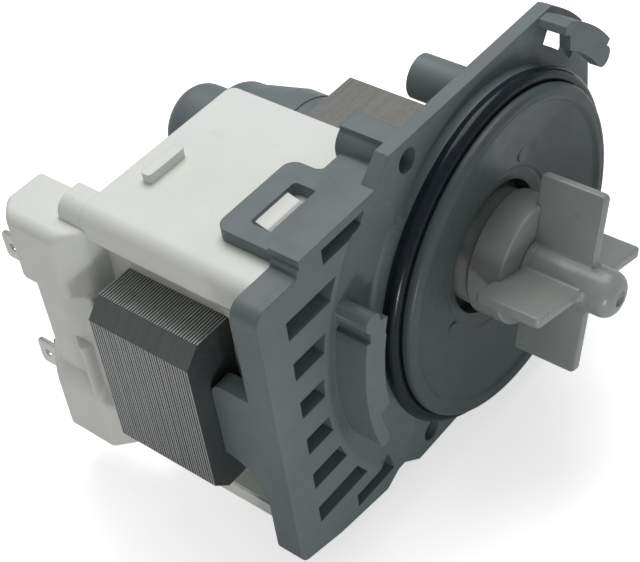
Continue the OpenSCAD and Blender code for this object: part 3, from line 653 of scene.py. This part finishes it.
def catch_shape():
    """The catch on the bridge, which rises towards the stack."""
    rear, tip, front = -50.2, -46.9, -45.5
    left, right = -BRIDGE_LEFT, -BRIDGE_LEFT + 2
    bottom, height = -15, 14.6
    plan = [(rear, left), (rear, right), (front, right), (front, left), (tip, -BLOCK_LEFT)]
    bm = bmesh.new()
    face = add_face(bm, [(x, y, bottom) for x, y in plan])
    push_out(bm, face, (0, 0, height))
    bmesh.ops.recalc_face_normals(bm, faces=bm.faces)
    soften(bm, 0.25)
    return bm


def tongue_shape():
    """The tongue that the slab sends back over the upper block. Its front end sinks into the slab."""
    rear, front = -48.7, COIL_REAR + 6
    left, right = -COIL_LEFT - SKIN, -50.8
    bottom, top = 25.8, COIL_TOP + SKIN
    outline = rounded_path([
        (left, bottom, 0), (right, bottom, 0), (right, top, 0.6), (left, top, 3.2)], closed=True)
    bm = prism_along_x(outline, rear, front)
    for vert in bm.verts:
        if vert.co.x > COIL_REAR:
            vert.co += Vector((0, 3 * SKIN, -3 * SKIN))
    soften(bm, 0.7, segments=4, keep=lambda e: max(v.co.x for v in e.verts) < COIL_REAR)
    return bm


def make_coil_cover():
    """The slab round the coils, and behind it the two terminal blocks with what joins them."""
    bm = copy_of_node("coil_overmould")
    cut_off(bm, (COIL_REAR + 0.05, 0, 0), (-1, 0, 0))
    cut_off(bm, (0, -COIL_LEFT - SKIN, 0), (0, -1, 0))
    finish_piece("coil_slab", bm, coil_plastic, "housing", nodes=["coil_overmould"],
                 smooth=32, even=True)
    bm = block_shape(bottom=12.0, top=27.2, round_r=2.4, edge=1.1)
    lower_block = block_shape(bottom=-27.7, top=-7.7, round_r=8.0, edge=0.8)
    for shape in (lower_block, bridge_shape(), catch_shape(), tongue_shape()):
        join(bm, shape)
    finish_piece("terminal_blocks", bm, coil_plastic, "housing",
                 nodes=["coil_overmould"], smooth=50, even=True)


def pole_arc(radius, leg_end):
    """The hollow that a pole has round the can, from the leg's end to the leg's underside."""
    start, end = math.acos(leg_end / radius), math.pi - math.asin(LEG_BOTTOM / radius)
    return arc(Vector((0, 0)), radius, start, end, 14)


def sheet_outline():
    """One sheet in (Y, Z): a U lying on its side, with its poles hollowed round the can."""
    back_in = -53.7
    pole = pole_arc(POLE_R, LEG_END)
    upper = [Vector((BACK, TOP - TOP_CUT)), Vector((BACK + TOP_CUT, TOP)), Vector((LEG_END, TOP))]
    upper += pole + [Vector((back_in, LEG_BOTTOM))]
    lower = [Vector((back_in, -LEG_BOTTOM))] + [Vector((p.x, -p.y)) for p in reversed(pole)]
    lower += [Vector((LEG_END, -TOP)), Vector((BACK + BOTTOM_CUT, -TOP)),
              Vector((BACK, -TOP + BOTTOM_CUT))]
    return upper + lower


def sheet_finish(face):
    """The stack's material for a face, as its place in the piece's list."""
    edge, cut, pole, flat = range(4)
    middle = face.calc_center_median()
    # Faces across the axis, the stack's flat faces and the faces inside the gaps, take the dark steel:
    # painted shade in the gaps over the flat faces' duller finish.
    if abs(face.normal.x) > 0.5:
        return flat
    if abs(face.normal.y) > 0.4 and abs(face.normal.z) > 0.4 and middle.y < BACK + 10:
        return cut
    return pole if middle.y > POLE_LEFT else edge


def make_sheets():
    """The stack of punched sheets, each a hair out of line with its neighbours."""
    low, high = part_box("core_laminations")
    front, rear = high.x / MM, low.x / MM
    count = 39
    pitch = (front - rear) / count
    gap = 0.22
    shake = random.Random(5)
    outline = sheet_outline()
    bm = bmesh.new()
    for i in range(count):
        start = rear + i * pitch + gap / 2
        squeeze = 1 - shake.uniform(0, 0.0007)
        sheet = prism_along_x([p * squeeze for p in outline], start, start + pitch - gap)
        join(bm, sheet)
    for side, cut in ((1, TOP_CUT), (-1, BOTTOM_CUT)):
        join(bm, pole_block(side, rear, front))
        join(bm, corner_fill(side, cut, rear, front))
    for face in bm.faces:
        face.material_index = sheet_finish(face)
    piece = finish_piece("sheet_stack", bm, sheet_edges, "housing",
                         nodes=["core_laminations"], smooth=25)
    for material in (cut_corner, pole_steel, flat_face_and_gap_shade):
        piece.data.materials.append(material)


def pole_block(side, rear, front):
    """The pole's end, where the sheets are pressed so tight that no line shows."""
    top, leg_end = TOP + 0.03, LEG_END + 0.03
    outline = [Vector((POLE_LEFT, LEG_BOTTOM)), Vector((POLE_LEFT, top)), Vector((leg_end, top))]
    outline += pole_arc(POLE_R - SKIN, leg_end)
    return prism_along_x([(p.x, side * p.y) for p in outline], rear, front)


def corner_fill(side, cut, rear, front):
    """What closes the gaps at a cut corner, where the punch has smeared the sheets together."""
    depth, inset = 4.2, 0.1
    outline = [(BACK, TOP - cut), (BACK + cut, TOP), (BACK + cut + depth, TOP - depth)]
    return prism_along_x([(y, side * z) for y, z in outline], rear + inset, front - inset)


def make_terminal(name, node, side):
    """A flat tab with a rounded tip, bevelled edges and the usual small hole."""
    root, tip, half = -50.0, -66.0, 3.15
    y, thick, z = -58.0, 0.8, side * 14.0
    tip_round = 1.2
    hole_r, hole_x = 0.85, tip + 2.5
    outline = rounded_path([
        (root, -half, 0), (root, half, 0), (tip, half, tip_round), (tip, -half, tip_round)], closed=True)
    hole = arc(Vector((hole_x, 0)), hole_r, 0, math.tau, 20)[:-1]
    bm = bmesh.new()
    edges = []
    for loop in (outline, hole):
        verts = [bm.verts.new((x, y - thick / 2, z + up)) for x, up in loop]
        edges += [bm.edges.new((a, b)) for a, b in zip(verts, verts[1:] + verts[:1])]
    bmesh.ops.triangle_fill(bm, use_beauty=True, use_dissolve=True, edges=edges, normal=(0, -1, 0))
    result = bmesh.ops.extrude_face_region(bm, geom=bm.faces[:])
    moved = [v for v in result["geom"] if isinstance(v, bmesh.types.BMVert)]
    bmesh.ops.translate(bm, vec=(0, thick, 0), verts=moved)
    bmesh.ops.recalc_face_normals(bm, faces=bm.faces)
    soften(bm, 0.15, angle=40, segments=2)
    finish_piece(name, bm, terminal_tin, "housing", nodes=[node], smooth=30)


def dress(node, material):
    """Gives a CAD node that stays its material."""
    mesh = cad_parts[node].data
    mesh.materials.clear()
    mesh.materials.append(material)


make_impeller()
make_cover()
make_sealing_ring()
make_moulding("plate_body", "mounting_plate", plate_plastic)
make_moulding("can_body", "rotor_can", can_plastic)
make_moulding("cap_body", "can_end_cap", can_plastic)
make_coil_cover()
make_sheets()
make_terminal("upper_tab", "upper_terminal", 1)
make_terminal("lower_tab", "lower_terminal", -1)

KEPT_NODES = {
    "can_seal": rubber,
    "front_bearing_mount": rubber,
    "rear_bearing_mount": rubber,
    "impeller_damper": rubber,
    "front_bush": bush_bronze,
    "rear_bush": bush_bronze,
    "rotor_shaft": shaft_steel,
    "front_thrust_washer": shaft_steel,
    "rear_thrust_washer": shaft_steel,
    "rotor_magnet": magnet_ferrite,
    "rotor_sleeve": coil_plastic,
    "drive_dog": coil_plastic,
    "coupling_cover": impeller_plastic,
    "upper_bobbin": coil_plastic,
    "lower_bobbin": coil_plastic,
    "upper_winding": winding_copper,
    "lower_winding": winding_copper,
}
for node, material in KEPT_NODES.items():
    dress(node, material)


# The stage, the light and the camera

def ray_is(nodes, links, *kinds):
    """1 for the kinds of ray that see the background as white, and 0 for the rest."""
    path = nodes.new("ShaderNodeLightPath")
    value = path.outputs[kinds[0]]
    for kind in kinds[1:]:
        either = nodes.new("ShaderNodeMath")
        either.operation = "MAXIMUM"
        links.new(value, either.inputs[0])
        links.new(path.outputs[kind], either.inputs[1])
        value = either.outputs[0]
    return value


def make_floor():
    """A pale floor under the lowest point. The camera sees it a little brighter, so it stays white."""
    grey, glow = 0.86, 0.6
    radius, gap = 4, 0.0005
    material = bpy.data.materials.new("floor_white")
    material.use_nodes = True
    nodes, links = material.node_tree.nodes, material.node_tree.links
    shader = nodes["Principled BSDF"]
    shader.inputs["Base Color"].default_value = (grey, grey, grey, 1)
    shader.inputs["Roughness"].default_value = 0.9
    shader.inputs["Specular IOR Level"].default_value = 0.1
    shader.inputs["Emission Color"].default_value = (1, 1, 1, 1)
    strength = nodes.new("ShaderNodeMath")
    strength.operation = "MULTIPLY"
    strength.inputs[1].default_value = glow
    links.new(ray_is(nodes, links, "Is Camera Ray"), strength.inputs[0])
    links.new(strength.outputs[0], shader.inputs["Emission Strength"])
    bm = bmesh.new()
    bmesh.ops.create_circle(bm, cap_ends=True, radius=radius, segments=64)
    mesh = bpy.data.meshes.new("floor")
    bm.to_mesh(mesh)
    bm.free()
    mesh.transform(Matrix.Translation((0, 0, cad_box[0][2] - gap)))
    mesh.materials.append(material)
    floor = bpy.data.objects.new("floor", mesh)
    bpy.context.scene.collection.objects.link(floor)


def make_world():
    """An even white surround: plain white to the camera, a soft fill to the object."""
    fill, white = 0.33, 1.0
    world = bpy.data.worlds.new("studio")
    world.use_nodes = True
    bpy.context.scene.world = world
    nodes, links = world.node_tree.nodes, world.node_tree.links
    background = nodes["Background"]
    background.inputs["Color"].default_value = (1, 1, 1, 1)
    strength = nodes.new("ShaderNodeMapRange")
    strength.inputs["To Min"].default_value = fill
    strength.inputs["To Max"].default_value = white
    seen = ray_is(nodes, links, "Is Camera Ray", "Is Transmission Ray")
    links.new(seen, strength.inputs["Value"])
    links.new(strength.outputs[0], background.inputs["Strength"])


def make_lamp(name, place, target, size, level):
    """A square soft lamp. level is how bright it alone makes a white face that looks at it."""
    place, target = Vector(place), Vector(target)
    away = place - target
    data = bpy.data.lights.new(name, "AREA")
    data.shape = "SQUARE"
    data.size = size
    data.energy = level * math.pi ** 2 * away.length_squared
    lamp = bpy.data.objects.new(name, data)
    lamp.matrix_world = Matrix.Translation(place) @ away.to_track_quat("Z", "Y").to_matrix().to_4x4()
    bpy.context.scene.collection.objects.link(lamp)


def make_camera():
    """The photograph's camera, recovered from the round and straight edges in it."""
    width_px, height_px = 640, 562
    focal_px = 1515.4
    centre_x, centre_y = 318.84, 281.32
    place = Vector((124.1, -172.78, 193.12)) * MM
    right = Vector((0.7800, 0.6158, -0.1110))
    up = Vector((-0.3626, 0.5895, 0.7218))
    back = Vector((0.5100, -0.5228, 0.6831))
    data = bpy.data.cameras.new("camera")
    data.sensor_width = 36
    data.lens = focal_px / width_px * data.sensor_width
    data.shift_x = (width_px / 2 - centre_x) / width_px
    data.shift_y = (centre_y - height_px / 2) / width_px
    data.clip_start = 0.01
    data.clip_end = 20
    camera = bpy.data.objects.new("camera", data)
    turn = Matrix((right, up, back)).transposed().to_4x4()
    camera.matrix_world = Matrix.Translation(place) @ turn
    bpy.context.scene.collection.objects.link(camera)
    bpy.context.scene.camera = camera


make_floor()
make_world()
make_lamp("overhead", place=(-0.16, 0.20, 0.60), target=(0.0, -0.01, 0.0), size=0.5, level=0.74)
make_lamp("low_left", place=(0.16, -0.14, -0.02), target=(0.0, -0.05, -0.02), size=0.03, level=0.27)
make_camera()
bpy.context.scene.view_settings.view_transform = "Standard"
